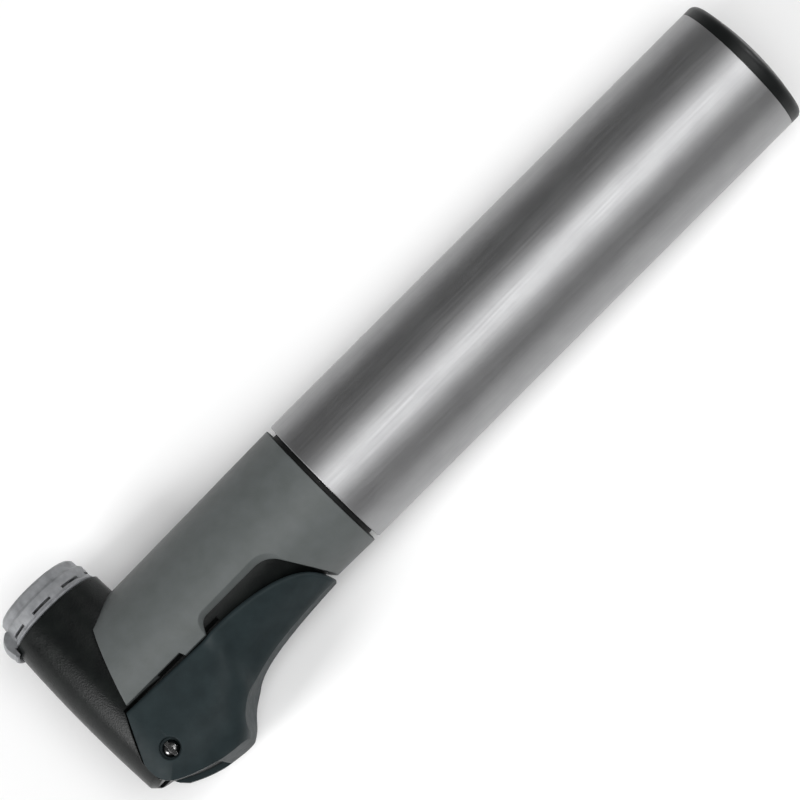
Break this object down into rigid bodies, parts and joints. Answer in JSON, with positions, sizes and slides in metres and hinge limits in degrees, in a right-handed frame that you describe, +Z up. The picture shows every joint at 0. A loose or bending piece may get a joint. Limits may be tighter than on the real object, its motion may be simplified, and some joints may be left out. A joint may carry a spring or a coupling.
{
  "type": "telescopic hand pump",
  "caption": "Short telescopic hand pump: aluminium barrel sliding over a pump cylinder, angled head with valve mouth, thumb lock lever and dust cap.",
  "frame": {"origin": "on the barrel's axis at the barrel's open end, where it meets the head", "axes": "+X along the barrel towards the end cap, +Y the way the valve mouth faces with the thumb lever on -Y, +Z up as the pump lies on its side"},
  "size_m": [0.1678, 0.0459, 0.027],
  "materials": {
    "anodised_aluminium": "satin, titanium-grey anodised",
    "cylinder_aluminium": "drawn, clear anodised",
    "steel": "turned, bright",
    "steel_black": "blackened, smooth",
    "housing_black": "finely textured",
    "cover_grey": "satin, finely textured",
    "lever_black": "smooth, slightly blue-green black",
    "cap_black": "smooth moulded",
    "rubber_black": "matt",
    "acetal_white": "moulded",
    "acetal_black": "moulded",
    "collar_black": "knurled",
    "frosted_plastic": "frosted translucent"
  },
  "bodies": {
    "head": {"head_core": "housing_black", "head_shell": "cover_grey", "seam_ring": "rubber_black", "inner_cylinder": "cylinder_aluminium", "cylinder_oring": "rubber_black", "cylinder_pins": "steel", "check_valve_seat": "acetal_white", "check_valve": "rubber_black", "cylinder_gland": "acetal_black", "gland_bumper": "rubber_black", "lever_pin": "steel_black", "valve_gasket": "rubber_black", "mouth_nut": "collar_black"},
    "piston": {"piston": "acetal_black", "piston_cup_seal": "rubber_black", "piston_washer": "steel", "piston_screw": "steel", "piston_rod": "steel", "rod_screw": "steel", "rod_washer": "steel"},
    "barrel": {"barrel_tube": "anodised_aluminium", "barrel_bush": "acetal_black", "end_cap": "cap_black", "end_plug": "cap_black"},
    "thumb_lever": {"thumb_lever": "lever_black"},
    "seal_plunger": {"seal_plunger": "acetal_black", "plunger_oring": "rubber_black"},
    "dust_cap": {"dust_cap": "frosted_plastic"}
  },
  "joints": [
    {"name": "pump_stroke", "type": "slide", "parent": "head", "child": "piston", "axis": [1, 0, 0], "range_m": [0, 0.075]},
    {"name": "barrel_swivel", "type": "hinge", "parent": "piston", "child": "barrel", "pos_m": [0, 0, 0], "axis": [1, 0, 0], "continuous": true},
    {"name": "lever_hinge", "type": "hinge", "parent": "head", "child": "thumb_lever", "pos_m": [-0.0512, -0.0156, 0], "axis": [0, 0, -1], "range_deg": [0, 90]},
    {"name": "seal_push", "type": "slide", "parent": "head", "child": "seal_plunger", "axis": [0, 1, 0], "range_m": [0, 0.002]},
    {"name": "dust_cap_pull", "type": "slide", "parent": "head", "child": "dust_cap", "axis": [0, 1, 0], "range_m": [0, 0.025]}
  ],
  "couplings": [
    {"joint": "seal_push", "follows": "lever_hinge", "m_per_rad": 0.0012732}
  ]
}
